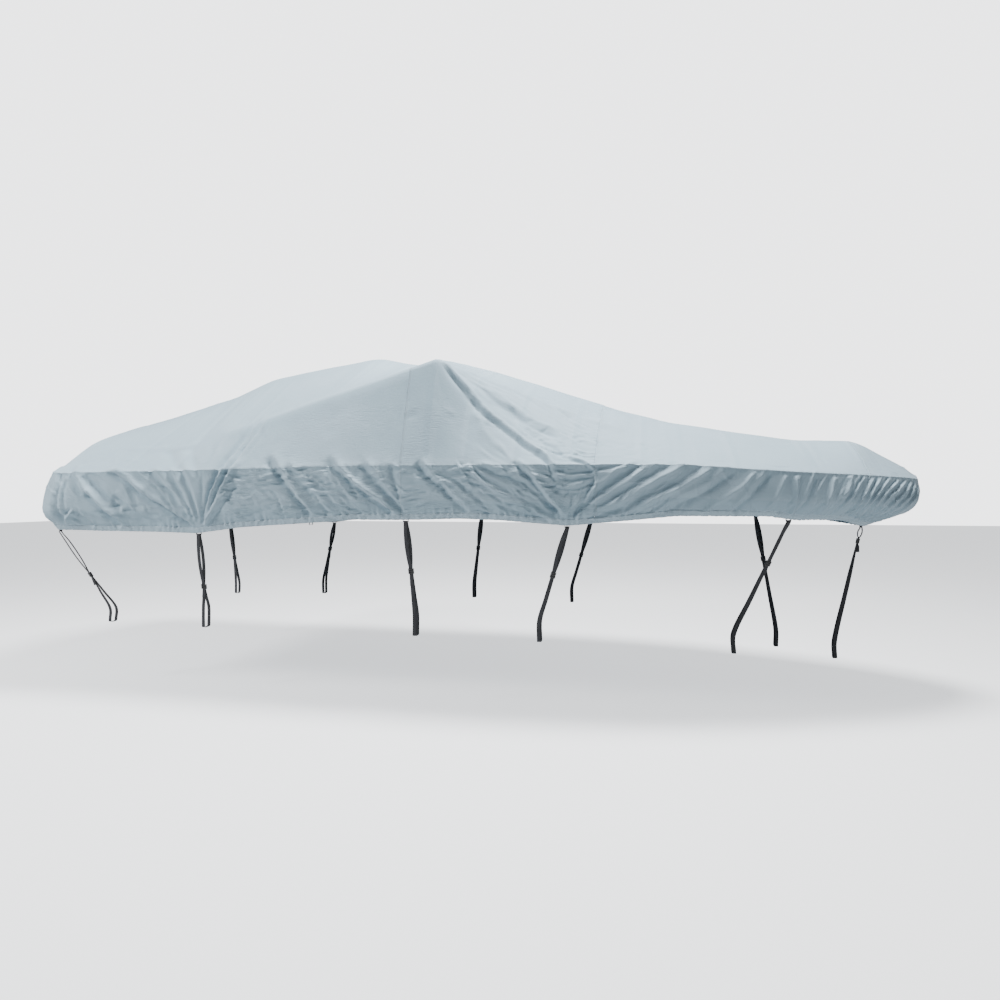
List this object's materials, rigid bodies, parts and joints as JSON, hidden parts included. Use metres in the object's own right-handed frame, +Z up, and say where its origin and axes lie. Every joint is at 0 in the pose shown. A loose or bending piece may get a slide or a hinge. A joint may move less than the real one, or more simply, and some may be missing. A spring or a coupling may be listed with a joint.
{
  "type": "fitted boat cover",
  "caption": "Fitted grey fabric boat cover with a pointed bow and a raised peak, drawn down by black webbing tie-down straps with ladder buckles.",
  "frame": {"origin": "on the centreline under the top's highest hump, where the cover rests on the body's upper works", "axes": "+X towards the bow, +Y towards the far side of the picture, +Z up"},
  "size_m": [5.9193, 2.2146, 2.174],
  "materials": {
    "cover_cloth": "matt, close-woven coated polyester in silver grey",
    "black_webbing": "black woven polyester webbing, matt",
    "buckle_plastic": "moulded black plastic, satin"
  },
  "bodies": {
    "root": {"cover_aft": "cover_cloth", "cover_middle": "cover_cloth", "cover_fore": "cover_cloth", "cover_bow": "cover_cloth", "hem_loop_near_corner": "black_webbing", "hem_loop_near_quarter": "black_webbing", "hem_loop_near_middle": "black_webbing", "hem_loop_near_fore": "black_webbing", "hem_loop_near_bow_quarter": "black_webbing", "hem_loop_bow": "black_webbing", "hem_loop_far_corner": "black_webbing", "hem_loop_far_quarter": "black_webbing", "hem_loop_far_middle": "black_webbing", "hem_loop_far_fore": "black_webbing", "hem_loop_far_bow_quarter": "black_webbing", "spare_loop_near": "black_webbing", "spare_loop_far": "black_webbing", "strap_near_corner": "black_webbing", "strap_near_quarter": "black_webbing", "strap_near_middle": "black_webbing", "strap_near_fore": "black_webbing", "strap_near_bow_quarter": "black_webbing", "strap_bow": "black_webbing", "strap_far_corner": "black_webbing", "strap_far_quarter": "black_webbing", "strap_far_middle": "black_webbing", "strap_far_fore": "black_webbing", "strap_far_bow_quarter": "black_webbing", "buckle_near_corner": "buckle_plastic", "buckle_near_quarter": "buckle_plastic", "buckle_near_middle": "buckle_plastic", "buckle_near_fore": "buckle_plastic", "buckle_near_bow_quarter": "buckle_plastic", "buckle_bow": "buckle_plastic", "buckle_far_corner": "buckle_plastic", "buckle_far_quarter": "buckle_plastic", "buckle_far_middle": "buckle_plastic", "buckle_far_fore": "buckle_plastic", "buckle_far_bow_quarter": "buckle_plastic"}
  },
  "joints": []
}
